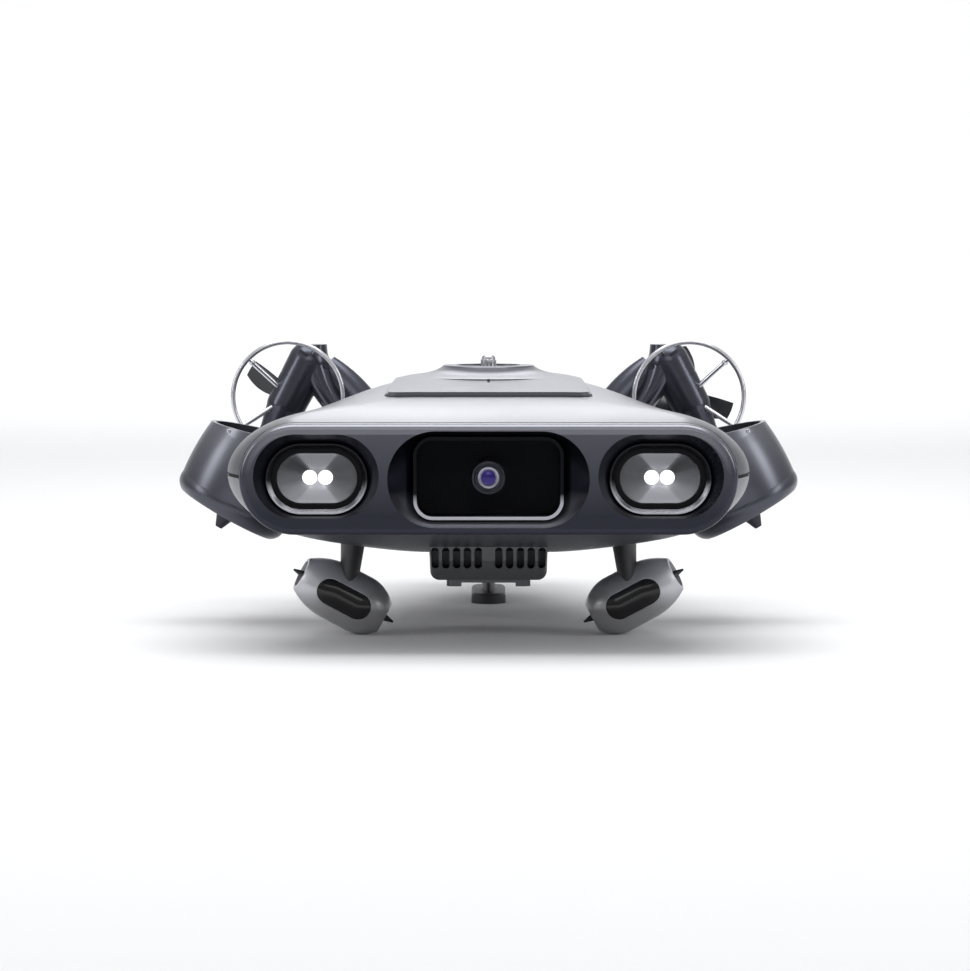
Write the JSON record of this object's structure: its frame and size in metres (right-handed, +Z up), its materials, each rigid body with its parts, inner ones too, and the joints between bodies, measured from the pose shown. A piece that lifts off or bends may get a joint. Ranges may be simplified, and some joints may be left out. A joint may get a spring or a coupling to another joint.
{
  "type": "underwater inspection rov",
  "caption": "Compact underwater inspection vehicle with a camera mask, head lamps, ducted and open thrusters, lower pods and a tether socket.",
  "frame": {"origin": "on the ground, under the middle of the vehicle's box", "axes": "+X to port, -Y to the front with the camera, +Z up"},
  "size_m": [0.3428, 0.39, 0.1549],
  "materials": {
    "shell_grey": "satin gunmetal",
    "mask_grey": "satin gunmetal",
    "deck_grey": "satin, lighter than the shell",
    "arm_grey": "satin gunmetal",
    "duct_grey": "satin gunmetal",
    "pod_grey": "light satin grey",
    "keel_dark": "matt black",
    "seal_black": "matt rubber",
    "bed_black": "matt foam-moulded bed",
    "trim_metal": "fine satin",
    "window_glass": "coated, dark",
    "lamp_glass": "clear",
    "lens_glass": "violet coating",
    "camera_black": "matt black",
    "status_lens": "smoked",
    "port_metal": "turned satin",
    "knob_steel": "fluted",
    "rail_aluminium": "dark anodised",
    "socket_metal": "dull plated",
    "battery_black": "black case",
    "tray_aluminium": "plain",
    "board_green": "solder mask",
    "reflector_silver": "polished",
    "led_white": "lit white",
    "guard_steel": "fine satin",
    "motor_dark": "dark satin",
    "blade_dark": "dark glossy",
    "inset_black": "gloss black"
  },
  "bodies": {
    "hull": {"upper_shell": "shell_grey", "lower_shell": "shell_grey", "seam_seal": "seal_black", "front_mask": "mask_grey", "window_trim": "trim_metal", "camera_window": "window_glass", "camera_housing": "camera_black", "camera_lens": "lens_glass", "deck_panel": "deck_grey", "status_light": "status_lens", "port_lid": "port_metal", "belly_keel": "keel_dark", "accessory_rail": "rail_aluminium", "rear_skid": "keel_dark", "rear_cap": "shell_grey", "tether_socket": "socket_metal", "battery_bed": "bed_black", "battery_pack": "battery_black", "electronics_tray": "tray_aluminium", "control_board": "board_green", "lamp_ring_port": "trim_metal", "lamp_ring_starboard": "trim_metal", "lamp_gasket_port": "seal_black", "lamp_gasket_starboard": "seal_black", "lamp_lens_port": "lamp_glass", "lamp_lens_starboard": "lamp_glass", "lamp_reflector_port": "reflector_silver", "lamp_reflector_starboard": "reflector_silver", "lamp_leds_port": "led_white", "lamp_leds_starboard": "led_white", "upper_arm_port": "arm_grey", "upper_arm_starboard": "arm_grey", "upper_guard_port": "guard_steel", "upper_guard_starboard": "guard_steel", "upper_motor_port": "motor_dark", "upper_motor_starboard": "motor_dark", "side_duct_port": "duct_grey", "side_duct_starboard": "duct_grey", "side_motor_port": "motor_dark", "side_motor_starboard": "motor_dark", "lower_pod_port": "pod_grey", "lower_pod_starboard": "pod_grey", "pod_inset_port": "inset_black", "pod_inset_starboard": "inset_black", "pod_core_port": "motor_dark", "pod_core_starboard": "motor_dark", "lower_strut_port": "keel_dark", "lower_strut_starboard": "keel_dark"},
    "thumb_screw_body": {"thumb_screw": "knob_steel"},
    "upper_wheel_port": {"upper_propeller_port": "blade_dark"},
    "side_wheel_port": {"side_propeller_port": "blade_dark"},
    "lower_wheel_port": {"pod_propeller_port": "blade_dark"},
    "upper_wheel_starboard": {"upper_propeller_starboard": "blade_dark"},
    "side_wheel_starboard": {"side_propeller_starboard": "blade_dark"},
    "lower_wheel_starboard": {"pod_propeller_starboard": "blade_dark"}
  },
  "joints": [
    {"name": "thumb_screw_turn", "type": "hinge", "parent": "hull", "child": "thumb_screw_body", "pos_m": [0, -0.01, 0.1409], "axis": [0, 0, 1], "continuous": true},
    {"name": "upper_spin_port", "type": "hinge", "parent": "hull", "child": "upper_wheel_port", "pos_m": [0.1147, 0.0653, 0.1222], "axis": [0, 1, 0], "continuous": true},
    {"name": "side_spin_port", "type": "hinge", "parent": "hull", "child": "side_wheel_port", "pos_m": [0.1437, -0.028, 0.0636], "axis": [-0.5, 0, 0.866], "continuous": true},
    {"name": "lower_spin_port", "type": "hinge", "parent": "hull", "child": "lower_wheel_port", "pos_m": [0.0773, -0.09, 0.02026], "axis": [0.8829, 0, 0.4695], "continuous": true},
    {"name": "upper_spin_starboard", "type": "hinge", "parent": "hull", "child": "upper_wheel_starboard", "pos_m": [-0.1147, 0.0653, 0.1222], "axis": [0, 1, 0], "continuous": true},
    {"name": "side_spin_starboard", "type": "hinge", "parent": "hull", "child": "side_wheel_starboard", "pos_m": [-0.1437, -0.028, 0.0636], "axis": [0.5, 0, 0.866], "continuous": true},
    {"name": "lower_spin_starboard", "type": "hinge", "parent": "hull", "child": "lower_wheel_starboard", "pos_m": [-0.0773, -0.09, 0.02026], "axis": [-0.8829, 0, 0.4695], "continuous": true}
  ]
}
